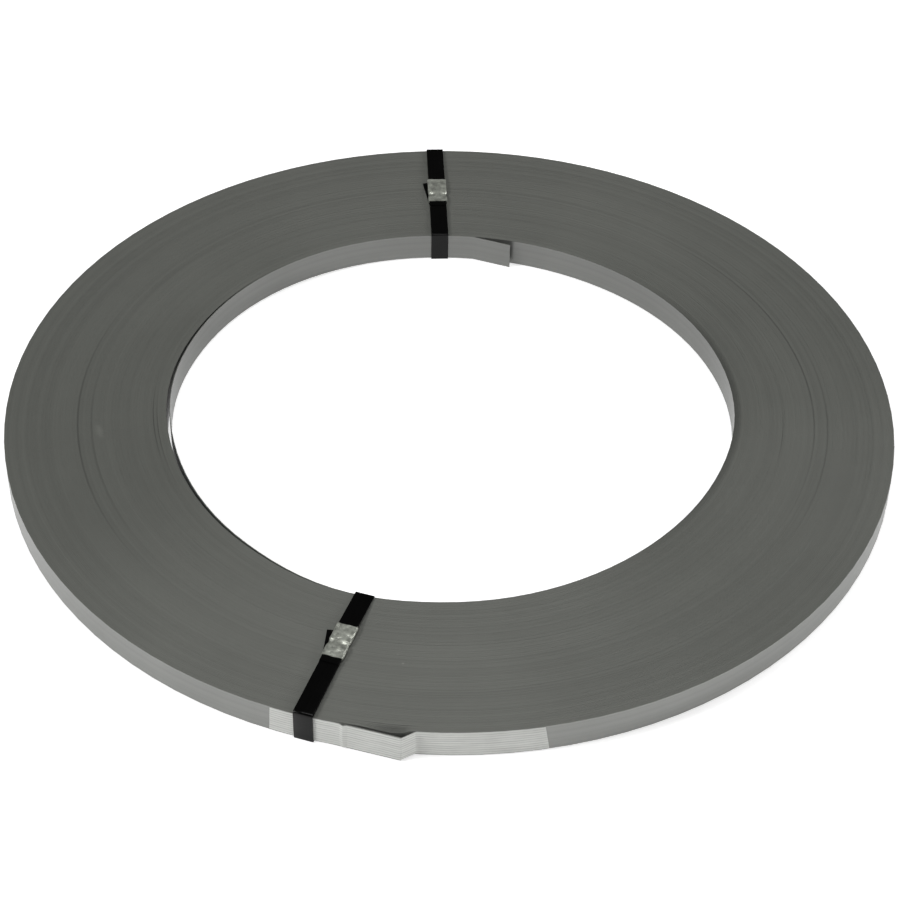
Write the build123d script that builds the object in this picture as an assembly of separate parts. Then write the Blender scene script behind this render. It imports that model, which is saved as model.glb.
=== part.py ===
# A roll of steel strapping: one strip wound flat on itself, tied in two places.
# Millimetres. The roll's axis is Z, it lies on z = 0, and angles run anticlockwise
# from +X as seen from above. The strip winds outward anticlockwise.
import os
from collections import namedtuple
from math import asin, cos, degrees, floor, pi, radians, sin, sqrt

from build123d import *

# The strip and its winding: 331 m of it fill the roll out to 600 mm
strip_width = 20.0
strip_thickness = 0.5
strip_length = 331000.0
bore_diameter = 381.0
air_between_laps = 0.01

# The bore is a little three-cornered, as the jaws of the winding mandrel leave it
mandrel_jaws = 3
jaw_rise = 2.0
jaw_angle = 14.0

# Groups of laps that stand higher than their neighbours, by up to the rise
lap_group_breadth = 12.0
lap_rise = 0.35
lap_rise_least = 0.45
lap_rise_step = 0.618

# The strip's inner end, creased away from the bore wall
inner_crease_angle = 85.5
inner_end_angle = 76.7
inner_end_lift = 5.0

# The innermost lap hangs loose along one side of the bore
loose_lap_middle_angle = 190.0
loose_lap_sweep_angle = 122.0
loose_lap_gap = 2.4

# The strip's outer end, creased away from the roll
outer_crease_angle = 257.3
outer_end_angle = 265.5
outer_end_lift = 5.5

# Filament tape that holds the outer end down
tape_width = 19.0
tape_thickness = 0.2
tape_height_off_rim = 0.9
tape_start_angle = 249.6
tape_landing_angle = 267.1
tape_end_angle = 282.0

# Ties of plastic strap round the winding
tie_width = 12.5
tie_thickness = 0.6
tie_bend_radius = 0.08
tie_ramp = 4.0
tie_mouth = 1.0
tie_overlap = 5.0

# Crimped metal seals that join the ties
seal_length = 28.0
seal_width = 14.0
seal_sheet = 0.5
seal_slot = 4.0
seal_edge_radius = 0.8
crimp_depth = 1.0
crimp_breadth = 7.0
crimp_radius = 2.0

# The back tie: place of its seal, and of its tail, which comes from the bore
back_tie_angle = 92.9
back_tie_skew_angle = 0.0
back_seal_off_middle = -1.5
back_tail_skew_angle = 8.5
back_tail_lead = 3.0
back_tail_hidden = 2.0

# The front tie, turned off the radius; its tail comes from the outside
front_tie_angle = 254.3
front_tie_skew_angle = -2.2
front_seal_off_middle = -7.3
front_tail_skew_angle = 13.0
front_tail_lead = 0.5
front_tail_hidden = 5.5

# Clearances between pieces that touch
fit = 0.03

# Points that the bore's curves go through
full_turn = degrees(2 * pi)
half_turn = degrees(pi)
bore_point_count = 19
lap_point_count = 9

bore_radius = bore_diameter / 2
outer_radius = sqrt(bore_radius ** 2 + strip_length * (strip_thickness + air_between_laps) / pi)
coil_base = tie_thickness + fit
coil_top = coil_base + strip_width + lap_rise


def at(radius, angle):
    return Vector(radius * cos(radians(angle)), radius * sin(radians(angle)))


def bore_at(angle):
    return bore_radius + jaw_rise * cos(radians(mandrel_jaws * (angle - jaw_angle)))


def bore_curve(first, sweep, behind, swell, points):
    # Points at a distance behind the bore wall, which swells in the middle of the sweep
    curve = []
    for k in range(points):
        share = k / (points - 1)
        angle = first + sweep * share
        curve.append(at(bore_at(angle) + behind + swell * sin(pi * share), angle))
    return curve


def strip_end(crease, tip, side):
    # A straight free end, one strip thick, whose visible face runs from crease to tip
    along = (tip - crease).normalized()
    across = Vector(-along.Y, along.X) * side * strip_thickness
    outline = Polyline(crease, tip, tip + across, crease + across, close=True)
    return Pos(0, 0, coil_base) * extrude(make_face(outline), strip_width)


def wound_strip():
    depth = outer_radius - bore_radius
    tall = strip_width + 2 * lap_rise
    groups = 2 * floor(depth / (2 * lap_group_breadth)) + 1
    upper = []
    lower = []
    for k in range(groups):
        near = bore_radius + k * lap_group_breadth
        far = near + lap_group_breadth
        if k == 0:
            near = bore_radius - jaw_rise - fit
        if k == groups - 1:
            far = outer_radius
        share = lap_rise_least + (1 - lap_rise_least) * ((k * lap_rise_step) % 1)
        rise = lap_rise * share * (k % 2)
        lower += [(near, coil_base + rise), (far, coil_base + rise)]
        upper += [(near, coil_base + strip_width + rise), (far, coil_base + strip_width + rise)]
    section = Plane.XZ * make_face(Polyline(*lower, *reversed(upper), close=True))
    coil = revolve(section, Axis.Z)

    round_bore = bore_curve(0, full_turn, 0, 0, bore_point_count)
    opening = make_face(Spline(*round_bore[:-1], periodic=True))
    coil -= Pos(0, 0, coil_base - lap_rise) * extrude(opening, tall)

    # The crescent behind the loose lap
    first = loose_lap_middle_angle - loose_lap_sweep_angle / 2
    lap_back = bore_curve(first, loose_lap_sweep_angle, strip_thickness, 0, lap_point_count)
    lap_bed = bore_curve(first, loose_lap_sweep_angle, strip_thickness, loose_lap_gap, lap_point_count)
    crescent = make_face([Spline(*lap_back), Spline(*lap_bed)])
    coil -= Pos(0, 0, coil_base - lap_rise) * extrude(crescent, tall)

    inner_crease = at(bore_at(inner_crease_angle), inner_crease_angle)
    inner_tip = at(bore_at(inner_end_angle) - inner_end_lift, inner_end_angle)
    outer_tip = at(outer_radius + outer_end_lift, outer_end_angle)
    coil += strip_end(inner_crease, inner_tip, 1)
    coil += strip_end(at(outer_radius, outer_crease_angle), outer_tip, 1)
    return coil


def end_tape():
    # Round the roll, straight out over the lifted end, down to the roll again and on
    under = outer_radius + fit
    over = under + tape_thickness
    tip = at(outer_radius + outer_end_lift, outer_end_angle)
    face = tip - at(outer_radius, outer_crease_angle)
    lift = Vector(face.Y, -face.X).normalized()
    tip_under = tip + lift * fit
    tip_over = tip + lift * (fit + tape_thickness)
    first = (tape_start_angle + outer_crease_angle) / 2
    last = (tape_landing_angle + tape_end_angle) / 2
    outline = [
        ThreePointArc(at(under, tape_start_angle), at(under, first), at(under, outer_crease_angle)),
        Line(at(under, outer_crease_angle), tip_under),
        Line(tip_under, at(under, tape_landing_angle)),
        ThreePointArc(at(under, tape_landing_angle), at(under, last), at(under, tape_end_angle)),
        Line(at(under, tape_end_angle), at(over, tape_end_angle)),
        ThreePointArc(at(over, tape_end_angle), at(over, last), at(over, tape_landing_angle)),
        Line(at(over, tape_landing_angle), tip_over),
        Line(tip_over, at(over, outer_crease_angle)),
        ThreePointArc(at(over, outer_crease_angle), at(over, first), at(over, tape_start_angle)),
        Line(at(over, tape_start_angle), at(under, tape_start_angle)),
    ]
    return Pos(0, 0, coil_base + tape_height_off_rim) * extrude(make_face(outline), tape_width)


# Heights of a tie's layers on top of the roll: tail, seal flange, two layers, seal top
flat_height = coil_top + tie_thickness / 2
seal_base = coil_top + tie_thickness + fit
lower_height = seal_base + seal_sheet + fit + tie_thickness / 2
upper_height = lower_height + tie_thickness + fit
seal_height = 2 * seal_sheet + 2 * tie_thickness + 3 * fit
winding_middle = (bore_radius + outer_radius) / 2


def waisted(length, width, height):
    # A block with a crimp pinched into the middle of each long side
    half = width / 2
    side = [(-crimp_breadth / 2, half), (0, half - crimp_depth), (crimp_breadth / 2, half)]
    upper = [(-length / 2, half), *side, (length / 2, half)]
    lower = [(x, -y) for x, y in reversed(upper)]
    plan = make_face(Polyline(*upper, *lower, close=True))
    bends = [v for v in plan.vertices() if abs(v.X) < length / 2 - fit]
    return extrude(fillet(bends, crimp_radius), height)


Tie = namedtuple("Tie", "angle skew off_middle wall_gap tail_from_bore tail_skew tail_lead tail_hidden")


def place_on_tie(tie):
    # Turns what is drawn along X to lie along the tie, with the seal's middle at the origin
    middle = at(winding_middle + tie.off_middle, tie.angle)
    return Pos(middle.X, middle.Y) * Rot(0, 0, tie.angle + tie.skew)


def crimped_seal(tie):
    body = waisted(seal_length, seal_width, seal_height)
    rims = body.faces().sort_by(Axis.Z)[-1].edges()
    rims = [e for e in rims if abs(e.center().X) < seal_length / 2 - fit]
    body = fillet(rims, seal_edge_radius)
    inside = waisted(seal_length + 2 * fit, seal_width - 2 * seal_sheet, seal_height - 2 * seal_sheet)
    body -= Pos(0, 0, seal_sheet) * inside
    body -= Box(2 * seal_length, seal_slot, 2 * seal_sheet)
    return place_on_tie(tie) * Pos(0, 0, seal_base) * body


def leg_distances(tie):
    # How far the legs stand from the seal's middle, so that both edges clear the round walls
    middle = winding_middle + tie.off_middle
    aside = -middle * sin(radians(tie.skew))
    walls = []
    for edge in (aside - tie_width / 2, aside + tie_width / 2):
        angle = tie.angle + tie.skew + degrees(asin(edge / bore_radius))
        walls.append(sqrt(bore_at(angle) ** 2 - edge ** 2))
    along = middle * cos(radians(tie.skew))
    inner_leg = min(walls) - fit - tie_thickness / 2 - along
    outer_leg = outer_radius + tie.wall_gap + tie_thickness / 2 - along
    return inner_leg, outer_leg


def strap_tie(tie):
    # Drawn along X from the seal's middle, outward, then placed
    side = 1
    turned = 0
    near_leg, far_leg = leg_distances(tie)
    if not tie.tail_from_bore:
        side = -1
        turned = half_turn
        near_leg, far_leg = far_leg, near_leg
    ends = seal_length / 2
    foot = tie_thickness / 2
    lap_end = ends + tie_overlap
    ramp_end = lap_end + tie_ramp
    path = FilletPolyline(
        (side * (ends - tie_overlap), lower_height),
        (-side * lap_end, lower_height),
        (-side * ramp_end, flat_height),
        (near_leg, flat_height),
        (near_leg, foot),
        (far_leg, foot),
        (far_leg, flat_height),
        (side * (ends + tie_mouth + tie_ramp), flat_height),
        (side * (ends + tie_mouth), upper_height),
        (-side * lap_end, upper_height),
        radius=tie_bend_radius + tie_thickness / 2,
    )
    band = extrude(Plane.XZ * trace(path, tie_thickness), tie_width / 2, both=True)

    # The strap is pinched to the shape of the seal's inside where the seal grips it
    room = waisted(seal_length, seal_width - 2 * seal_sheet - 2 * fit, seal_height)
    grip = Box(seal_length, 2 * seal_width, seal_height, align=(Align.CENTER, Align.CENTER, Align.MIN))
    band -= Pos(0, 0, seal_base) * (grip - room)

    # The tail: straight on from the flat strap, then askew under the seal
    start = ramp_end + tie_thickness
    turn = ends + tie.tail_lead
    beyond = turn + ends - tie.tail_hidden
    out = (Align.MIN, Align.CENTER, Align.CENTER)
    lead = Pos(-start, 0) * Box(start - turn + tie_width / 2, tie_width, tie_thickness, align=out)
    edge = (Align.MIN, Align.MAX, Align.CENTER)
    tab = Box(beyond, tie_width, tie_thickness, align=edge)
    tail = lead + Pos(-turn, tie_width / 2) * Rot(0, 0, tie.tail_skew) * tab
    band += Rot(0, 0, turned) * Pos(0, 0, flat_height) * tail
    return place_on_tie(tie) * band


tape_room = fit + tape_thickness + fit
back = Tie(
    back_tie_angle,
    back_tie_skew_angle,
    back_seal_off_middle,
    fit,
    True,
    back_tail_skew_angle,
    back_tail_lead,
    back_tail_hidden,
)
front = Tie(
    front_tie_angle,
    front_tie_skew_angle,
    front_seal_off_middle,
    tape_room,
    False,
    front_tail_skew_angle,
    front_tail_lead,
    front_tail_hidden,
)
pieces = {
    "strapping_coil": wound_strip(),
    "back_tie": strap_tie(back),
    "front_tie": strap_tie(front),
    "back_seal": crimped_seal(back),
    "front_seal": crimped_seal(front),
    "end_tape": end_tape(),
}

os.makedirs("parts", exist_ok=True)
for name, piece in pieces.items():
    solids = piece.solids()
    if len(solids) != 1:
        raise ValueError(name + " is not one solid")
    export_step(solids[0], "parts/" + name + ".step")
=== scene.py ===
import bpy
import numpy as np
from mathutils import Matrix, Vector


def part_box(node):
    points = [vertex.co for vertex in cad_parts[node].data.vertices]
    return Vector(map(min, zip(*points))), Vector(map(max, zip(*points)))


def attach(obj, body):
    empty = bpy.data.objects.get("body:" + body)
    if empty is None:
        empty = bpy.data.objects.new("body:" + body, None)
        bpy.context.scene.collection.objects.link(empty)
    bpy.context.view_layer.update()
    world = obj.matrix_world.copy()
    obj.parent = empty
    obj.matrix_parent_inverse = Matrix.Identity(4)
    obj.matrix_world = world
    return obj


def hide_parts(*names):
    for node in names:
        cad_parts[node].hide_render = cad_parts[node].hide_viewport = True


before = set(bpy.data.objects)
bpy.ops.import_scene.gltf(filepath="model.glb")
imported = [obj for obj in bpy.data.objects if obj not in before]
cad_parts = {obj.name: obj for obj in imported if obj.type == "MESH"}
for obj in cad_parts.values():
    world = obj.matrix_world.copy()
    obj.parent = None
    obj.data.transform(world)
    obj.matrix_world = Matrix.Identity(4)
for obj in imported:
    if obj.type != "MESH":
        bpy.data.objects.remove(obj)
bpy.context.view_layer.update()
mm = 0.001  # everything below is worked out in millimetres
upright = np.array([0.0, 0.0, 1.0])


def boxOf(node):
    low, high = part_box(node)
    return np.array(low) / mm, np.array(high) / mm


def polar(radius, degrees):
    turn = np.radians(degrees)
    return np.stack([radius * np.cos(turn), radius * np.sin(turn)], -1)


def wrapped(degrees):
    # the same angle between -180 and 180
    return (degrees + 180) % 360 - 180


def atHeight(flat, height):
    # flat points or directions with a third number added
    return np.column_stack([flat, np.broadcast_to(height, len(flat))])


def rightOf(way):
    # a flat direction turned a quarter to its right
    return np.stack([way[..., 1], -way[..., 0]], -1)


def headings(route):
    # unit directions along a route, from the differences between neighbouring points
    ahead = np.gradient(route, axis=0)
    return ahead / np.linalg.norm(ahead, axis=1)[:, None]


def softNoise(at, seed):
    # a random value at every whole number, eased from one to the next by a cosine
    values = np.random.default_rng(seed).uniform(-1, 1, int(np.max(at)) + 3)
    whole = np.floor(at).astype(int)
    ease = (1 - np.cos(np.pi * (at - whole))) / 2
    return values[whole] * (1 - ease) + values[whole + 1] * ease


def bump(at, middle, halfSpan):
    # a cosine hill: 1 at the middle, 0 from half a span away
    off = np.clip(np.abs(at - middle) / halfSpan, 0, 1)
    return (1 + np.cos(np.pi * off)) / 2


def roundCorners(points, radii, perCorner):
    # every inner corner of the route becomes an arc that is tangent to both of its runs
    points = np.asarray(points, float)
    turn = np.linspace(0, 1, perCorner)[:, None]
    route = [points[:1]]
    radii = np.broadcast_to(radii, len(points) - 2)
    for before, here, after, radius in zip(points[:-2], points[1:-1], points[2:], radii):
        a = (before - here) / np.linalg.norm(before - here)
        b = (after - here) / np.linalg.norm(after - here)
        half = np.arccos(np.clip(a @ b, -1, 1)) / 2
        reach = radius / np.tan(half)
        centre = here + (a + b) / np.linalg.norm(a + b) * radius / np.sin(half)
        first, last = here + a * reach - centre, here + b * reach - centre
        spread = np.pi - 2 * half
        arc = np.sin((1 - turn) * spread) * first + np.sin(turn * spread) * last
        route.append(centre + arc / np.sin(spread))
    return np.concatenate(route + [points[-1:]])


def evenly(route, step):
    # the same route with points added, so that no run is longer than the step
    runs = np.linalg.norm(np.diff(route, axis=0), axis=1)
    counts = np.maximum(1, np.ceil(runs / step)).astype(int)
    marks = np.concatenate([np.arange(n) / n + i for i, n in enumerate(counts)] + [[len(runs)]])
    return np.stack([np.interp(marks, np.arange(len(route)), axis) for axis in route.T], -1)


def carry(route, side, up, ring):
    # section carried along a route: place + first ring number * side + second ring number * up,
    # where side and up are one direction for the whole route or one for each of its points
    side, up = (np.broadcast_to(way, route.shape)[:, None] for way in (side, up))
    return route[:, None] + ring[:, :1] * side + ring[:, 1:] * up


def sweptFaces(stations, around, first=0):
    # quads between neighbouring sections, and one face at each end
    i, j = np.meshgrid(np.arange(stations - 1), np.arange(around), indexing="ij")
    k = (j + 1) % around
    here, onward = i * around, (i + 1) * around
    quads = np.stack([here + j, here + k, onward + k, onward + j], -1)
    sides = (quads.reshape(-1, 4) + first).tolist()
    start = (np.arange(around)[::-1] + first).tolist()
    end = (np.arange(around) + (stations - 1) * around + first).tolist()
    return sides + [start, end]


def addObject(name, data):
    thing = bpy.data.objects.new(name, data)
    bpy.context.scene.collection.objects.link(thing)
    return thing


def makePiece(name, points, faces, materials, replaced, sharpAngle=0.6):
    mesh = bpy.data.meshes.new(name)
    mesh.from_pydata(points * mm, [], faces)
    mesh.update()
    mesh.shade_smooth()
    mesh.set_sharp_from_angle(angle=sharpAngle)
    for material in materials:
        mesh.materials.append(material)
    piece = addObject(name, mesh)
    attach(piece, "root")
    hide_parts(*replaced)
    print(name, len(mesh.polygons), "faces")
    return piece


def keepValues(piece, name, values, domain):
    column = piece.data.attributes.new(name, "FLOAT", domain)
    column.data.foreach_set("value", np.ascontiguousarray(values, np.float32))


# shader helpers

def newMaterial(name):
    material = bpy.data.materials.new(name)
    material.use_nodes = True
    nodes = material.node_tree.nodes
    return material, nodes, material.node_tree.links, nodes["Principled BSDF"]


def addNode(nodes, kind, **values):
    node = nodes.new(kind)
    for key, value in values.items():
        if key in node.inputs:
            node.inputs[key].default_value = value
        else:
            setattr(node, key, value)
    return node


def feed(links, socket, value):
    # a plain value is written into the socket, and an output is linked to it
    if isinstance(value, (int, float, tuple)):
        socket.default_value = value
    else:
        links.new(value, socket)


def mathNode(nodes, links, operation, *values, clamp=False):
    node = addNode(nodes, "ShaderNodeMath", operation=operation, use_clamp=clamp)
    for socket, value in zip(node.inputs, values):
        feed(links, socket, value)
    return node.outputs[0]


def scaled(nodes, links, value, factor, offset, clamp=False):
    return mathNode(nodes, links, "MULTIPLY_ADD", value, factor, offset, clamp=clamp)


def product(nodes, links, first, *others):
    for other in others:
        first = mathNode(nodes, links, "MULTIPLY", first, other)
    return first


def mixColour(nodes, links, factor, first, second, blend="MIX"):
    node = addNode(nodes, "ShaderNodeMix", data_type="RGBA", blend_type=blend)
    for socket, value in ((0, factor), (6, first), (7, second)):  # factor, two colours
        feed(links, node.inputs[socket], value)
    return node.outputs[2]


def tinted(nodes, links, colour, tone):
    return mixColour(nodes, links, 1.0, colour, tone, "MULTIPLY")


def addRelief(nodes, links, shader, height, strength, distance):
    relief = addNode(nodes, "ShaderNodeBump", Strength=strength, Distance=distance)
    links.new(height, relief.inputs["Height"])
    links.new(relief.outputs["Normal"], shader.inputs["Normal"])


def grey(level, warmth):
    # an sRGB grey level as linear colour, a little yellow where warmth is above 0
    linear = (level / 255 + 0.055) ** 2.4 / 1.055 ** 2.4
    return (linear, linear * (1 + warmth * 0.5), linear * (1 - warmth), 1.0)


def wearGroup():
    # handling marks shared by every finish: broad patches and fine specks as masks from 0 to 1
    group = bpy.data.node_groups.new("handlingMarks", "ShaderNodeTree")
    for name, kind, way in (
        ("Place", "NodeSocketVector", "INPUT"),
        ("Patch Scale", "NodeSocketFloat", "INPUT"),
        ("Speck Scale", "NodeSocketFloat", "INPUT"),
        ("Patches", "NodeSocketFloat", "OUTPUT"),
        ("Specks", "NodeSocketFloat", "OUTPUT"),
    ):
        group.interface.new_socket(name, in_out=way, socket_type=kind)
    nodes, links = group.nodes, group.links
    start, end = nodes.new("NodeGroupInput"), nodes.new("NodeGroupOutput")
    patches = addNode(nodes, "ShaderNodeTexNoise", Detail=4.0, Roughness=0.55)
    specks = addNode(nodes, "ShaderNodeTexNoise", Detail=2.0, Roughness=0.5)
    for noise, scale, mask in (
        (patches, "Patch Scale", "Patches"),
        (specks, "Speck Scale", "Specks"),
    ):
        links.new(start.outputs["Place"], noise.inputs["Vector"])
        links.new(start.outputs[scale], noise.inputs["Scale"])
        links.new(noise.outputs["Fac"], end.inputs[mask])
    return group


handlingMarks = wearGroup()


def addMarks(nodes, links, patchScale, speckScale):
    place = nodes.new("ShaderNodeTexCoord")
    marks = nodes.new("ShaderNodeGroup")
    marks.node_tree = handlingMarks
    marks.inputs["Patch Scale"].default_value = patchScale
    marks.inputs["Speck Scale"].default_value = speckScale
    links.new(place.outputs["Object"], marks.inputs["Place"])
    return place.outputs["Object"], marks.outputs["Patches"], marks.outputs["Specks"]


# the strapping coil: one strip wound flat, from its inner free end to its outer one

coilLow, coilHigh = boxOf("strapping_coil")
strip = {
    "width": 20.0,
    "thickness": 0.49,
    "boreRadius": 190.5,
    "outerRadius": coilHigh[0],
    "jaws": 3,  # the bore is a little three-cornered
    "jawRise": 2.0,
    "jawAngle": 14.0,
    "boreSwells": (  # angle, half span and depth
        (357.0, 22.0, 0.8),
        (176.0, 22.0, 0.9),
        (249.0, 22.0, 2.2),
    ),
    "wholeTurns": 214,
    "stepsPerTurn": 106,
    "endSteps": 9,
    "innerTip": (183.52, 76.7),  # radius and angle of the free inner end
    "innerCrease": 85.5,
    "outerCrease": 257.3,
    "outerTip": (305.54, 265.2),
    "spring": 2.4,  # the laps behind the lifted end spring out with it
    "springSpan": (259.8, 264.7, 266.6),  # start, peak and end angle
    "springLaps": 8,
    "springFall": 1.4,  # above 1, the spring dies away sooner
    "springSteps": 30,
    "looseFrom": 129.0,  # the innermost lap hangs loose between these angles
    "looseTo": 251.0,
    "looseGap": 2.0,
    "looseLap": 0.9,  # turns that stay inside the gap
    "slowRise": 0.16,  # laps sit a little high or low
    "slowLaps": 7,  # laps from one random height to the next
    "lapRise": 0.13,
    "lapBeat": 1.37,  # random heights to a lap
    "toneSpread": 0.035,
    "toneLaps": 5,
    "toneBeat": 1.13,
    "paintedShadeArcs": (  # painted shade where laps stand low: radius, angle, half span, laps to each side and depth
        (252.0, 186.0, 40.0, 2, 0.36),
        (244.0, 146.0, 32.0, 6, 0.09),
        (243.0, 192.0, 30.0, 2, 0.2),
        (254.0, 355.0, 36.0, 2, 0.28),
        (244.8, 15.0, 48.0, 2, 0.36),
        (228.0, 56.0, 22.0, 7, 0.06),
        (200.4, 188.0, 16.0, 1, 0.45),
        (197.0, 192.0, 18.0, 1, 0.4),
        (269.0, 275.0, 22.0, 1, 0.3),
        (226.0, 351.0, 9.0, 1, 0.35),
    ),
    "darkSide": 2.0,  # the laps next to the bore are darker on this side
    "darkSpan": 66.0,
    "darkLaps": 8.0,
    "darkHold": 1.5,  # the darkening ends at this many times those laps
    "darkDepth": 0.44,
    "marks": (  # radius, angle, size and strength of light scuffs on the edges
        (237.4, 187.8, 3.2, 0.2),
        (236.9, 188.6, 3.4, 0.26),
        (236.4, 189.4, 3.4, 0.26),
        (236.0, 190.2, 3.0, 0.16),
        (246.0, 264.0, 0.9, 0.9),
        (239.0, 263.0, 0.7, 0.6),
        (206.0, 336.0, 0.8, 0.7),
    ),
    "edgeLevel": 110,
    "wallLevel": 136,
    "borePaintedShade": 0.74,  # painted shade: the strip's side that faces the bore is darker, for the dimmer light inside the bore
    "seed": 4,
}


def boreRise(v, angle):
    # how far the bore stands off its mean radius: three jaw lobes and a few swells
    rise = np.cos(np.radians(v["jaws"] * (angle - v["jawAngle"]))) * v["jawRise"]
    for middle, halfSpan, depth in v["boreSwells"]:
        rise = rise + depth * bump(wrapped(angle - middle), 0, halfSpan)
    return rise


def springRise(v, angle, under):
    # hill behind the lifted outer end, lower with every lap that is further under it
    start, peak, end = v["springSpan"]
    at = angle % 360
    hill = np.where(at < peak, bump(at, peak, peak - start), bump(at, peak, end - peak))
    share = np.clip(1 - (np.round(under) - 1) / v["springLaps"], 0, 1) ** v["springFall"]
    return v["spring"] * hill * np.where(under > 0.5, share, 0)


def shadeLaps(v, path, lap):
    # 1 + two random tone drifts from lap to lap - painted shade in cosine hills where laps stand
    # low, and a darkening of the laps at the bore
    quick = softNoise(lap * v["toneBeat"], v["seed"] + 2)
    slow = softNoise(lap / v["toneLaps"], v["seed"] + 3)
    shade = 1 + v["toneSpread"] * quick + v["toneSpread"] * slow
    # painted shade: each arc darkens the laps near its radius and angle
    for arcRadius, middle, halfSpan, breadth, depth in v["paintedShadeArcs"]:
        fromArc = lap - lap[np.argmin(np.hypot(*(path - polar(arcRadius, middle)).T))]
        lapsOff = np.round(fromArc)
        nearness = np.clip(1 - np.abs(lapsOff) / breadth, 0, 1)
        shade -= depth * bump(fromArc - lapsOff, 0, halfSpan / 360) * nearness
    turned = np.degrees(np.arctan2(path[:, 1], path[:, 0]))
    dull = v["darkDepth"] * bump(wrapped(turned - v["darkSide"]), 0, v["darkSpan"])
    return shade - dull * np.clip(v["darkHold"] - lap / v["darkLaps"], 0, 1)


def windStrip(v):
    # radius = bore + pitch * turns + the bore's unevenness, which fades outwards, + a hill on the
    # left that pushes all laps but the first outwards + the rise of the laps that spring out
    turns = v["wholeTurns"] + (v["outerCrease"] - v["innerCrease"]) / 360
    pitch = (v["outerRadius"] - v["thickness"] - v["boreRadius"]) / turns
    lap = np.linspace(0, turns, int(turns * v["stepsPerTurn"]))
    # closer steps where laps spring out
    start, _, end = v["springSpan"]
    ahead = (np.linspace(start, end, v["springSteps"]) - v["outerCrease"]) / 360
    sprung = turns - np.arange(1, v["springLaps"] + 1)[:, None] + ahead
    lap = np.unique(np.concatenate([lap, sprung.ravel()]))
    angle = v["innerCrease"] + 360 * lap
    fade = 1 - lap / turns
    share = np.clip((angle % 360 - v["looseFrom"]) / (v["looseTo"] - v["looseFrom"]), 0, 1)
    hill = np.where(lap > v["looseLap"], np.sin(np.pi * share) * v["looseGap"] * fade, 0)
    radius = v["boreRadius"] + pitch * lap + boreRise(v, angle) * fade + hill
    radius += springRise(v, angle, turns - lap)
    route = polar(radius, angle)
    outward = polar(np.ones_like(angle), angle)

    # both free ends are straight, with the thickness on the side away from the bore
    ease = np.linspace(0, 1, v["endSteps"])[:, None]
    innerTip = polar(*v["innerTip"])
    innerWay = route[0] - innerTip
    innerSide = rightOf(innerWay / np.linalg.norm(innerWay))
    innerRun = innerTip + innerWay * ease[:-1]
    outerFace = route[-1] + outward[-1] * v["thickness"]
    outerWay = polar(*v["outerTip"]) - outerFace
    outerSide = rightOf(outerWay) / np.linalg.norm(outerWay)
    outerRun = outerFace + outerWay * ease[1:] - outerSide * v["thickness"]
    ends = len(ease) - 1
    path = np.concatenate([innerRun, route, outerRun])
    side = np.concatenate([np.tile(innerSide, (ends, 1)), outward, np.tile(outerSide, (ends, 1))])
    lap = np.concatenate([np.zeros(ends), lap, np.full(ends, turns)])

    # laps sit a little high or low: a slow drift over many laps and a quick one from lap to lap
    rise = v["slowRise"] * (0.5 + 0.5 * softNoise(lap / v["slowLaps"], v["seed"]))
    rise += v["lapRise"] * (0.5 + 0.5 * softNoise(lap * v["lapBeat"], v["seed"] + 1))
    t, w = v["thickness"], v["width"]
    ring = np.array([[0, 0], [t, 0], [t, w], [0, w]])
    points = carry(atHeight(path, coilLow[2] + rise), atHeight(side, 0.0), upright, ring)
    return points, lap, shadeLaps(v, path, lap)


def stripWall(v):
    # the rolled faces: level rolling lines that depend on the height alone, and painted shade on
    # the side that faces the bore
    material, nodes, links, shader = newMaterial("stripWall")
    place, patches, specks = addMarks(nodes, links, patchScale=14.0, speckScale=700.0)
    height = addNode(nodes, "ShaderNodeSeparateXYZ")
    links.new(place, height.inputs[0])
    lines = addNode(nodes, "ShaderNodeTexNoise", noise_dimensions="1D", Scale=380.0, Detail=3.0)
    links.new(height.outputs["Z"], lines.inputs["W"])
    streak = scaled(nodes, links, lines.outputs["Fac"], factor=0.3, offset=0.85)
    patchy = scaled(nodes, links, patches, factor=0.22, offset=0.89)
    # painted shade: darker on the side of the strip that faces the bore
    tone = addNode(nodes, "ShaderNodeAttribute", attribute_name="wallPaintedShade").outputs["Fac"]
    streak = product(nodes, links, streak, patchy, tone)
    colour = tinted(nodes, links, grey(v["wallLevel"], warmth=0.03), streak)
    links.new(colour, shader.inputs["Base Color"])
    shader.inputs["Metallic"].default_value = 0.6
    shader.inputs["Specular Tint"].default_value = (0.8, 0.8, 0.8, 1.0)
    rough = scaled(nodes, links, specks, factor=0.12, offset=0.28)
    links.new(rough, shader.inputs["Roughness"])
    addRelief(nodes, links, shader, lines.outputs["Fac"], strength=0.08, distance=0.0002)
    return material


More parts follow.
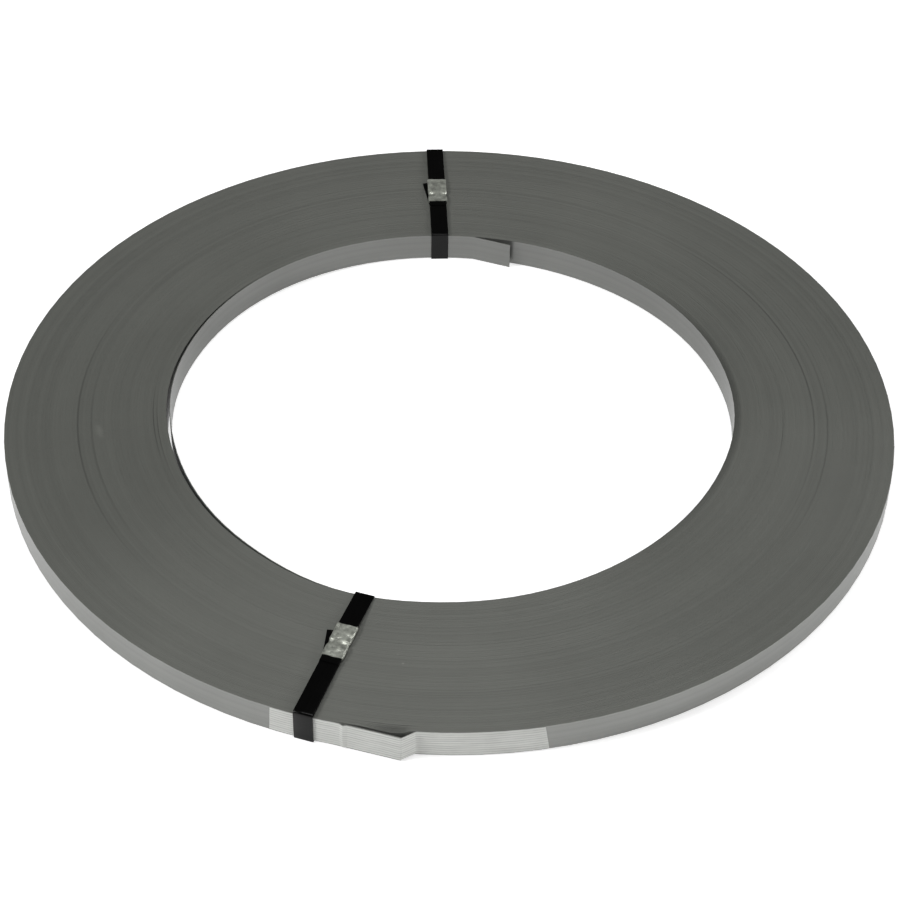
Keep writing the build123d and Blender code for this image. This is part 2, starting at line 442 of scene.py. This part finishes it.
def stripEdge(v):
    # the slit edges: each lap has its own random tone and painted shade, with a few light scuffs
    material, nodes, links, shader = newMaterial("stripEdge")
    place, patches, specks = addMarks(nodes, links, patchScale=14.0, speckScale=700.0)
    # each lap's random tone, with painted shade on the low laps and the darker laps at the bore
    shade = addNode(nodes, "ShaderNodeAttribute", attribute_name="lapToneAndShade").outputs["Fac"]
    tone = product(nodes, links, shade, scaled(nodes, links, patches, factor=0.22, offset=0.89))
    for radius, angle, size, strength in v["marks"]:
        away = addNode(nodes, "ShaderNodeVectorMath", operation="DISTANCE")
        links.new(place, away.inputs[0])
        away.inputs[1].default_value = (*polar(radius, angle) * mm, coilHigh[2] * mm)
        near = scaled(nodes, links, away.outputs["Value"], -1 / (size * mm), 1.0, clamp=True)
        tone = mathNode(nodes, links, "ADD", tone, product(nodes, links, near, strength))
    colour = tinted(nodes, links, grey(v["edgeLevel"], warmth=0.065), tone)
    links.new(colour, shader.inputs["Base Color"])
    shader.inputs["Metallic"].default_value = 0.3
    rough = scaled(nodes, links, specks, factor=0.12, offset=0.44)
    links.new(rough, shader.inputs["Roughness"])
    # the rounded edges run round the roll and spread reflections across themselves
    shader.inputs["Anisotropic"].default_value = 0.55
    shader.inputs["Anisotropic Rotation"].default_value = 0.25
    around = addNode(nodes, "ShaderNodeTangent", direction_type="RADIAL", axis="Z")
    links.new(around.outputs[0], shader.inputs["Tangent"])
    return material


def stripMap(v, points, lap):
    # the map for baked colours: edges seen from above and from below, and rows for the walls,
    # where all the hidden laps share one row
    margin, oneTurn = 0.02, 0.95  # shares of the map's breadth
    rows = {"outer": (0.68, 0.08), "bore": (0.80, 0.08), "hidden": (0.92, 0.02)}  # foot, height
    belowSize, belowMiddle = (-0.3, 0.3), (0.83, 0.17)
    aboveSize, aboveMiddle = 0.64, 0.33
    endPatch = [[0.80, 0.50], [0.82, 0.50], [0.82, 0.58], [0.80, 0.58]]
    turned = np.unwrap(np.arctan2(points[:, 0, 1], points[:, 0, 0])) / (2 * np.pi)
    first = np.arange(len(points) - 1)[:, None]
    station = first + np.array([0, 0, 1, 1])
    around = (turned[station] - np.floor(turned[first])) * oneTurn
    flat = points[:, :, :2] / (2.1 * v["outerRadius"])  # a little more than the roll across
    rise = np.array([0, 1, 1, 0.0])

    def row(mask, chosen):
        low = np.where(mask[:-1], rows[chosen][0], rows["hidden"][0])[:, None]
        tall = np.where(mask[:-1], rows[chosen][1], rows["hidden"][1])[:, None]
        return low, tall

    below = flat[station, [0, 1, 1, 0]] * belowSize + belowMiddle
    above = flat[station, [2, 3, 3, 2]] * aboveSize + aboveMiddle
    low, tall = row(lap >= lap[-1] - 1, "outer")
    outer = np.stack([margin + around, low + tall * rise], -1)
    low, tall = row(lap < 1, "bore")
    inner = np.stack([1 - margin - around, low + tall * (1 - rise)], -1)
    ends = np.tile(endPatch, (2, 1))
    return np.concatenate([np.stack([below, outer, above, inner], 1).reshape(-1, 2), ends])


def buildCoil(v):
    points, lap, shade = windStrip(v)
    faces = sweptFaces(*points.shape[:2])
    coil = makePiece("steelStrip", points.reshape(-1, 3), faces,
                     [stripWall(v), stripEdge(v)], ["strapping_coil"])
    keepValues(coil, "lapToneAndShade", np.repeat(shade, points.shape[1]), "POINT")
    # faces round the strip: lower edge, outer wall, upper edge, bore wall; the two ends come last
    runs = points.shape[0] - 1
    # painted shade on every bore-facing wall, 1 on the other faces
    wallPaintedShade = np.append(np.tile([1, 1, 1, v["borePaintedShade"]], runs), [1, 1])
    keepValues(coil, "wallPaintedShade", wallPaintedShade, "FACE")
    isEdge = np.append(np.tile([1, 0, 1, 0], runs), [1, 1])
    coil.data.polygons.foreach_set("material_index", isEdge.astype(np.int32))
    bakeMap = coil.data.uv_layers.new(name="OFBake")
    corners = np.ascontiguousarray(stripMap(v, points, lap), np.float32)
    bakeMap.data.foreach_set("uv", corners.ravel())


buildCoil(strip)

# the filament tape over the outer end

tapeLow, tapeHigh = boxOf("end_tape")
tape = {
    "thickness": 0.2,
    "clear": 0.01,  # off the strip under it
    "lapPitch": 1.02,  # of the strip's thickness
    "start": 249.6,
    "landing": 266.8,
    "end": 282.0,
    "wallSteps": 40,
    "startEase": 0.7,  # below 1, the steps get closer towards the lifted end
    "liftStep": 0.8,
    "backSteps": 9,
    "filaments": 10,
    "ridge": 0.05,
    "perFilament": 6,
    "crease": 0.8,
    "creaseAt": 6.5,  # past the crease of the strip under it
    "creaseSpan": 2.6,
    "cuts": (1.0, -2.9),  # how far the cut ends slant, at the upper edge
    "cutReach": 15.0,
    "sway": 0.6,  # how far the filaments wander up and down
    "strandShare": 0.6,  # of the filaments in the pattern, the rest is fibres
    "fibreStretch": (45.0, 45.0, 900.0),
    "level": 235,
    "lineLevel": 182,
}


def layTape(v, s):
    # the route follows the wall, runs straight over the lifted end, drops and follows the wall
    # again, and a section with a sine ridge for each filament is carried along it
    stretch = np.linspace(0, 1, v["wallSteps"])
    firstAngle = v["start"] + (s["outerCrease"] - v["start"]) * stretch ** v["startEase"]
    lastAngle = v["landing"] + (v["end"] - v["landing"]) * stretch
    lapStep = s["thickness"] * v["lapPitch"]
    wall = s["outerRadius"] + v["clear"]
    first = polar(wall - lapStep * (s["outerCrease"] - firstAngle) / 360, firstAngle)
    last = polar(wall - lapStep * (360 + s["outerCrease"] - lastAngle) / 360, lastAngle)
    tip = polar(s["outerTip"][0] + v["clear"], s["outerTip"][1])
    middle = evenly(np.stack([first[-1], tip, last[0]]), v["liftStep"])
    route = np.concatenate([first[:-1], middle, last[1:]])
    ahead = headings(route)
    side = atHeight(rightOf(ahead), 0.0)
    height = tapeHigh[2] - tapeLow[2]
    across = np.linspace(0, 1, v["filaments"] * v["perFilament"] + 1)
    ridges = v["thickness"] - v["ridge"] * (1 - np.abs(np.sin(np.pi * v["filaments"] * across)))
    front = np.column_stack([ridges, across * height])
    back = np.column_stack([np.zeros(v["backSteps"]), np.linspace(1, 0, v["backSteps"]) * height])
    ring = np.concatenate([front, back])
    # a soft fold stands out where the strip under the tape is creased
    lift = tip - first[-1]
    creased = first[-1] + lift / np.linalg.norm(lift) * v["creaseAt"]
    fold = v["crease"] * bump(np.linalg.norm(route - creased, axis=1), 0, v["creaseSpan"])
    path = atHeight(route, tapeLow[2]) + side * fold[:, None]
    # the cut ends slant: stations near them move along the tape, most at its upper edge
    run = np.append(0, np.cumsum(np.linalg.norm(np.diff(route, axis=0), axis=1)))
    nearEnds = np.clip(1 - np.stack([run, run[-1] - run]) / v["cutReach"], 0, 1)
    shift = (v["cuts"] @ nearEnds)[:, None] * ring[:, 1] / height
    return carry(path, side, upright, ring) + shift[..., None] * atHeight(ahead, 0.0)[:, None]


def filamentTape(v):
    # pale filaments that follow the ridges, with finer fibres between and over them
    material, nodes, links, shader = newMaterial("filamentTape")
    place, patches, specks = addMarks(nodes, links, patchScale=60.0, speckScale=1500.0)
    height = addNode(nodes, "ShaderNodeSeparateXYZ")
    links.new(place, height.inputs[0])
    wander = addNode(nodes, "ShaderNodeTexNoise", Scale=90.0, Detail=2.0)
    links.new(place, wander.inputs["Vector"])
    sway = v["sway"] * mm
    swayed = scaled(nodes, links, wander.outputs["Fac"], factor=2 * sway, offset=-sway)
    up = mathNode(nodes, links, "SUBTRACT", height.outputs["Z"], tapeLow[2] * mm)
    up = mathNode(nodes, links, "ADD", up, swayed)
    turnsPerMetre = np.pi * v["filaments"] / ((tapeHigh[2] - tapeLow[2]) * mm)
    wave = mathNode(nodes, links, "SINE", product(nodes, links, up, turnsPerMetre))
    strand = mathNode(nodes, links, "ABSOLUTE", wave)
    # fibres: noise drawn out along the tape
    drawn = addNode(nodes, "ShaderNodeVectorMath", operation="MULTIPLY")
    links.new(place, drawn.inputs[0])
    drawn.inputs[1].default_value = v["fibreStretch"]
    fibre = addNode(nodes, "ShaderNodeTexNoise", Scale=1.0, Detail=2.0)
    links.new(drawn.outputs[0], fibre.inputs["Vector"])
    fibres = scaled(nodes, links, fibre.outputs["Fac"], factor=2.0, offset=-0.5)
    strand = product(nodes, links, strand, v["strandShare"])
    fibres = product(nodes, links, fibres, 1 - v["strandShare"])
    strand = mathNode(nodes, links, "ADD", strand, fibres, clamp=True)
    dark, pale = grey(v["lineLevel"], warmth=0.03), grey(v["level"], warmth=0.03)
    colour = mixColour(nodes, links, strand, dark, pale)
    patchy = scaled(nodes, links, patches, factor=0.3, offset=0.86)
    links.new(tinted(nodes, links, colour, patchy), shader.inputs["Base Color"])
    addRelief(nodes, links, shader, fibre.outputs["Fac"], strength=0.35, distance=0.0004)
    rough = scaled(nodes, links, specks, factor=0.25, offset=0.28)
    links.new(rough, shader.inputs["Roughness"])
    return material


tapePoints = layTape(tape, strip)
makePiece("endTape", tapePoints.reshape(-1, 3), sweptFaces(*tapePoints.shape[:2]),
          [filamentTape(tape)], ["end_tape"], sharpAngle=0.9)

# the two ties of black strap, with their ends lapped in the seal and a tail under it

tie = {
    "width": 12.5,
    "thickness": 0.6,
    "bend": 0.38,
    "rimBend": 0.5,  # added to the bend for every millimetre that the strap stands off a rim
    "mouth": 1.0,
    "overlap": 5.0,
    "edgeRound": 0.14,
    "fit": 0.03,
    "perCorner": 7,
    "step": 2.0,
    "tailSteps": 14,
    "leadSteps": 6,
    "leadSize": 0.98,  # the straight lead of the tail lies inside the strap above it
    "level": 7,
}
places = {
    "back": {
        "angle": 92.9,
        "skew": 0.0,  # turned off the radius
        "sealRadius": 243.77,
        "wallGap": -0.18,
        "boreLift": 1.0,  # the stiff strap stands off the rims
        "outerLift": 0.7,
        "tailFromBore": True,
        "tailSkew": 8.5,
        "tailLead": 3.0,
        "tailHidden": 2.0,
        "crimpAt": -5.2,  # off the seal's middle
        "dent": 0.92,
        "seed": 11,
    },
    "front": {
        "angle": 254.3,
        "skew": -2.2,
        "sealRadius": 237.97,
        "wallGap": 0.26,
        "boreLift": 0.0,
        "outerLift": 1.7,
        "tailFromBore": False,
        "tailSkew": 13.0,
        "tailLead": 0.5,
        "tailHidden": 5.5,
        "crimpAt": 2.4,
        "dent": 0.7,
        "seed": 23,
    },
}


def tieFrame(place):
    # the seal's middle, the direction along the tie and the one to its left
    middle = np.append(polar(place["sealRadius"], place["angle"]), 0.0)
    along = np.append(polar(1.0, place["angle"] + place["skew"]), 0.0)
    return middle, along, np.array([-along[1], along[0], 0.0])


def legDistances(v, s, place):
    # legs clear of the round walls at both edges of the strap, measured from the seal's middle
    skew = np.radians(place["skew"])
    reach = place["sealRadius"] * np.cos(skew)
    edge = -place["sealRadius"] * np.sin(skew) + np.array([-0.5, 0.5]) * v["width"]
    angle = place["angle"] + place["skew"] + np.degrees(np.arcsin(edge / s["boreRadius"]))
    bore = s["boreRadius"] + boreRise(s, angle)
    inner = np.min(np.sqrt(bore ** 2 - edge ** 2)) - v["fit"] - v["thickness"] / 2 - reach
    return inner, s["outerRadius"] + place["wallGap"] + v["thickness"] / 2 - reach


def strapRing(width, thickness, edgeRound):
    # rounded rectangle: a cosine and sine quarter at each corner
    turn = np.radians([0, 45, 90])
    corner = np.column_stack([np.cos(turn), np.sin(turn)]) * edgeRound
    inner = np.array([width / 2 - edgeRound, thickness / 2 - edgeRound])
    quarters = []
    for sx, sy, order in ((1, 1, 1), (-1, 1, -1), (-1, -1, 1), (1, -1, -1)):
        quarters.append((inner + corner)[::order] * (sx, sy))
    return np.concatenate(quarters)


def strapBand(v, s, g, place, sealBase):
    # a flat route round the winding, its corners rounded, with the strap's section carried along
    # it, and two straight runs of the same section for the tail
    middle, along, left = tieFrame(place)
    t, sheet, sealHalf = v["thickness"], g["sheet"], g["length"] / 2
    flat = sealBase - v["fit"] - t / 2
    lower = sealBase + sheet + v["fit"] + t / 2
    upper = lower + t + v["fit"]
    inner, outer = legDistances(v, s, place)
    side, rims = 1, [(inner, place["boreLift"]), (outer, place["outerLift"])]
    if not place["tailFromBore"]:
        side, rims = -1, rims[::-1]
    (near, nearLift), (far, farLift) = rims
    lapEnd = sealHalf + v["overlap"]
    mouth = sealHalf + v["mouth"]
    corners = [
        (side * (sealHalf - v["overlap"]), lower),
        (-side * lapEnd, lower),
        (near, flat + nearLift),
        (near, t / 2),
        (far, t / 2),
        (far, flat + farLift),
        (side * mouth, upper),
        (-side * lapEnd, upper),
    ]
    # a tight strap runs straight from the seal to the rim, and the crimp presses its upper layer
    bends = v["bend"] + v["rimBend"] * np.array([0, nearLift, 0, 0, farLift, 0])
    route = evenly(roundCorners(corners, bends, v["perCorner"]), v["step"])
    pressed = place["dent"] * bump(route[:, 0], place["crimpAt"], g["crimpSpan"])
    route[:, 1] -= np.where(route[:, 1] > upper - t / 2, pressed, 0)
    ahead = headings(route)
    path = middle + route[:, :1] * along + route[:, 1:] * upright
    up = -ahead[:, 1:] * along + ahead[:, :1] * upright
    ring = strapRing(v["width"], t, v["edgeRound"])
    band = carry(path, left, up, ring)

    # the tail goes straight on from the flat strap and then turns askew under the seal
    turn = sealHalf + place["tailLead"]
    beyond = turn + sealHalf - place["tailHidden"]
    onward, across = along * side, left * side
    skew = np.radians(place["tailSkew"])
    askew = onward * np.cos(skew) + across * np.sin(skew)
    acrossAskew = across * np.cos(skew) - onward * np.sin(skew)
    base = middle + upright * flat
    pivot = base - onward * turn + across * v["width"] / 2
    stretch = np.linspace(0, 1, v["tailSteps"])[:, None]
    tail = pivot - acrossAskew * v["width"] / 2 + askew * beyond * stretch
    start = abs(near) - v["bend"] - t
    stretch = np.linspace(0, 1, v["leadSteps"])[:, None]
    lead = base - onward * (start - (start - turn + v["width"] / 4) * stretch)
    tailBand = carry(tail, acrossAskew, upright, -ring)
    leadBand = carry(lead, across, upright, -ring * v["leadSize"])
    return [band, tailBand, leadBand], ring


def blackStrap(v):
    # black plastic with a faint grain along the strap
    material, nodes, links, shader = newMaterial("blackStrap")
    patches, specks = addMarks(nodes, links, patchScale=80.0, speckScale=1600.0)[1:]
    across = addNode(nodes, "ShaderNodeAttribute", attribute_name="acrossStrap").outputs["Fac"]
    lines = addNode(nodes, "ShaderNodeTexNoise", noise_dimensions="1D", Scale=1.3, Detail=3.0)
    links.new(across, lines.inputs["W"])
    grain = lines.outputs["Fac"]
    patchy = scaled(nodes, links, patches, factor=0.8, offset=0.6)
    lined = scaled(nodes, links, grain, factor=0.8, offset=0.6)
    shade = product(nodes, links, patchy, lined)
    colour = tinted(nodes, links, grey(v["level"], warmth=0.02), shade)
    links.new(colour, shader.inputs["Base Color"])
    specked = scaled(nodes, links, specks, factor=0.08, offset=0.07)
    rough = mathNode(nodes, links, "ADD", specked, product(nodes, links, grain, 0.12))
    links.new(rough, shader.inputs["Roughness"])
    shader.inputs["Specular IOR Level"].default_value = 0.18
    addRelief(nodes, links, shader, grain, strength=0.12, distance=0.0002)
    return material


# the crimped seals

seal = {
    "length": 28.0,
    "width": 14.0,
    "sheet": 0.5,
    "slot": 4.0,
    "bend": 0.85,
    "perCorner": 7,
    "step": 0.7,
    "stations": 57,
    "crimpDepth": 0.5,
    "crimpSpan": 3.3,
    "flatMiddle": 0.15,  # share of the breadth that the crimp leaves flat
    "dentEase": 2.0,
    "unevenness": 0.07,
    "waves": ((0.45, 0.35), (0.9, -0.5)),  # radians to a millimetre along and across
    "rimWave": 0.15,
    "rimBeat": 0.8,
    "level": 182,
}


def crimpSeal(v, place, base, top):
    # a C-shaped sheet section carried along the tie; cosine hills pinch its sides and dent its
    # top, two sine waves make the top uneven, and one more makes its rims wavy
    middle, outward, sideways = tieFrame(place)
    halfSheet, halfSlot = v["sheet"] / 2, v["slot"] / 2
    half = v["width"] / 2 - halfSheet
    low, high = halfSheet, top - base - halfSheet
    corners = [
        (-halfSlot, low), (-half, low), (-half, high), (half, high), (half, low), (halfSlot, low),
    ]
    section = evenly(roundCorners(corners, v["bend"], v["perCorner"]), v["step"])
    offset = rightOf(headings(section)) * halfSheet
    ring = np.concatenate([section - offset, (section + offset)[::-1]])
    along = np.linspace(-0.5, 0.5, v["stations"])[:, None] * v["length"]
    y, z = ring.T
    pinch = bump(along, place["crimpAt"], v["crimpSpan"])
    upper = np.clip((z - low) / (high - low), 0, 1)
    y = y * (1 - pinch * v["crimpDepth"] / half)
    phases = np.random.default_rng(place["seed"]).uniform(0, 6.3, 3)  # up to a full turn
    uneven = 0
    for (lengthwise, crosswise), phase in zip(v["waves"], phases):
        uneven = uneven + np.sin(along * lengthwise + y * crosswise + phase)
    atSides = np.clip((np.abs(y) / half - v["flatMiddle"]) * v["dentEase"], 0, 1)
    sideDent = atSides * pinch * place["dent"]
    z = z + upper * ((uneven - len(v["waves"])) * v["unevenness"] - sideDent)
    rim = np.sin(y * v["rimBeat"] + phases[-1]) - 1
    x = along + upper * v["rimWave"] * rim * np.sign(along)
    body = x[..., None] * outward + y[..., None] * sideways + z[..., None] * upright
    return body + middle + upright * base


def sealMetal(v):
    # bright sheet metal, blotched and dimpled by the crimping tool
    material, nodes, links, shader = newMaterial("sealMetal")
    patches, specks = addMarks(nodes, links, patchScale=260.0, speckScale=2500.0)[1:]
    blotches = scaled(nodes, links, patches, factor=2.2, offset=-0.1)
    colour = tinted(nodes, links, grey(v["level"], warmth=0.08), blotches)
    links.new(colour, shader.inputs["Base Color"])
    shader.inputs["Metallic"].default_value = 0.6
    rough = scaled(nodes, links, specks, factor=0.3, offset=0.18)
    links.new(rough, shader.inputs["Roughness"])
    addRelief(nodes, links, shader, patches, strength=0.5, distance=0.0008)
    return material


def buildTie(which, place, strapMaterial, sealMaterial):
    sealLow, sealHigh = boxOf(which + "_seal")
    bands, ring = strapBand(tie, strip, seal, place, sealLow[2])
    points, faces, count = [], [], 0
    for band in bands:
        faces += sweptFaces(*band.shape[:2], first=count)
        points.append(band.reshape(-1, 3))
        count += len(points[-1])
    points = np.concatenate(points)
    strap = makePiece(which + "Tie", points, faces, [strapMaterial], [which + "_tie"])
    keepValues(strap, "acrossStrap", np.tile(ring[:, 0], count // len(ring)), "POINT")

    # the sheet's rims at both ends: quads between its outer and its inner face
    body = crimpSeal(seal, place, sealLow[2], sealHigh[2])
    around = body.shape[1]
    i = np.arange(around // 2 - 1)
    rim = np.stack([i, i + 1, around - 2 - i, around - 1 - i], -1)
    rims = rim[:, ::-1].tolist() + (rim + (body.shape[0] - 1) * around).tolist()
    sides = sweptFaces(*body.shape[:2])[:-2]
    makePiece(which + "Seal", body.reshape(-1, 3), sides + rims,
              [sealMaterial], [which + "_seal"])


blackMaterial, brightMaterial = blackStrap(tie), sealMetal(seal)
for which, place in places.items():
    buildTie(which, place, blackMaterial, brightMaterial)

# floor, light and camera

stage = {
    "floorSize": 60.0,
    "floorColour": (0.8, 0.8, 0.8, 1.0),
    "floorGlow": (0.62, 1.0),  # near the roll and further off
    "glowReach": (0.35, 1.3),
    "worldLevel": 0.03,
    "lamps": (  # place, point that it looks at, breadth, length, watts
        ((0.15, 0.35, 2.3), (0.15, 0.35, 0.0), 1.6, 0.7, 17.0),
        ((-2.5, -0.8, 2.0), (0.0, 0.0, 0.0), 0.9, 0.9, 62.0),
        ((1.6, 1.1, 0.9), (0.0, 0.0, 0.0), 0.6, 0.6, 9.0),
        ((0.3, -1.6, 1.7), (0.0, 0.0, 0.0), 1.2, 0.8, 4.0),
        ((2.8, -1.8, 1.1), (0.0, 0.0, 0.0), 1.0, 0.8, 36.0),
    ),
    "distance": 1.61692,
    "elevation": 41.4657,
    "aim": (0.00052, -0.02684, 0.00063),
    "roll": 0.9419,
    "lens": 95.546,
    "sensor": 36.0,
    "nearest": 0.05,
}


def paleFloor(v):
    # a plain floor that glows for the eye and for reflections, and casts no light of its own
    half = v["floorSize"] / 2
    corners = [(-half, -half, 0), (half, -half, 0), (half, half, 0), (-half, half, 0)]
    mesh = bpy.data.meshes.new("floor")
    mesh.from_pydata(corners, [], [(0, 1, 2, 3)])
    floor = addObject("floor", mesh)
    material, nodes, links, shader = newMaterial("paleFloor")
    nodes.remove(shader)
    plain = addNode(nodes, "ShaderNodeBsdfDiffuse", Color=v["floorColour"])
    place = nodes.new("ShaderNodeTexCoord")
    away = addNode(nodes, "ShaderNodeVectorMath", operation="LENGTH")
    links.new(place.outputs["Object"], away.inputs[0])
    level = nodes.new("ShaderNodeMapRange")
    links.new(away.outputs["Value"], level.inputs[0])
    for socket, value in zip(level.inputs[1:5], v["glowReach"] + v["floorGlow"]):
        socket.default_value = value
    glow = nodes.new("ShaderNodeEmission")
    links.new(level.outputs[0], glow.inputs["Strength"])
    both = nodes.new("ShaderNodeAddShader")
    links.new(plain.outputs[0], both.inputs[0])
    links.new(glow.outputs[0], both.inputs[1])
    rays = nodes.new("ShaderNodeLightPath").outputs
    looks = mathNode(nodes, links, "MAXIMUM", rays["Is Camera Ray"], rays["Is Glossy Ray"])
    looks = mathNode(nodes, links, "MAXIMUM", looks, rays["Is Transmission Ray"])
    mix = nodes.new("ShaderNodeMixShader")
    links.new(looks, mix.inputs[0])
    links.new(plain.outputs[0], mix.inputs[1])
    links.new(both.outputs[0], mix.inputs[2])
    links.new(mix.outputs[0], nodes["Material Output"].inputs["Surface"])
    mesh.materials.append(material)


def studioLight(v):
    world = bpy.data.worlds.new("studio")
    world.use_nodes = True
    background = world.node_tree.nodes["Background"]
    background.inputs["Color"].default_value = (1, 1, 1, 1)
    background.inputs["Strength"].default_value = v["worldLevel"]
    bpy.context.scene.world = world
    for i, (place, target, breadth, length, watts) in enumerate(v["lamps"]):
        lamp = bpy.data.lights.new("softLamp%d" % i, "AREA")
        lamp.shape = "RECTANGLE"
        lamp.size, lamp.size_y = breadth, length
        lamp.energy = watts
        holder = addObject("softLamp%d" % i, lamp)
        holder.location = place
        looksAlong = Vector(target) - Vector(place)
        holder.rotation_euler = looksAlong.to_track_quat("-Z", "Y").to_euler()
        holder.visible_camera = False


def photoCamera(v):
    # stands off the aim by its distance, tilted by the elevation, and rolls about its own axis
    tilt, roll = np.radians(v["elevation"]), np.radians(v["roll"])
    back = Vector((0, -np.cos(tilt), np.sin(tilt)))
    right = Vector((1, 0, 0))
    up = back.cross(right)
    turnedRight = right * np.cos(roll) + up * np.sin(roll)
    turnedUp = up * np.cos(roll) - right * np.sin(roll)
    place = Vector(v["aim"]) + back * v["distance"]
    lens = bpy.data.cameras.new("photoCamera")
    lens.lens = v["lens"]
    lens.sensor_width = v["sensor"]
    lens.clip_start = v["nearest"]
    camera = addObject("photoCamera", lens)
    axes = Matrix((turnedRight, turnedUp, back)).transposed()
    camera.matrix_world = Matrix.Translation(place) @ axes.to_4x4()
    bpy.context.scene.camera = camera


paleFloor(stage)
studioLight(stage)
photoCamera(stage)
bpy.context.scene.view_settings.view_transform = "Standard"
print("stage is set")
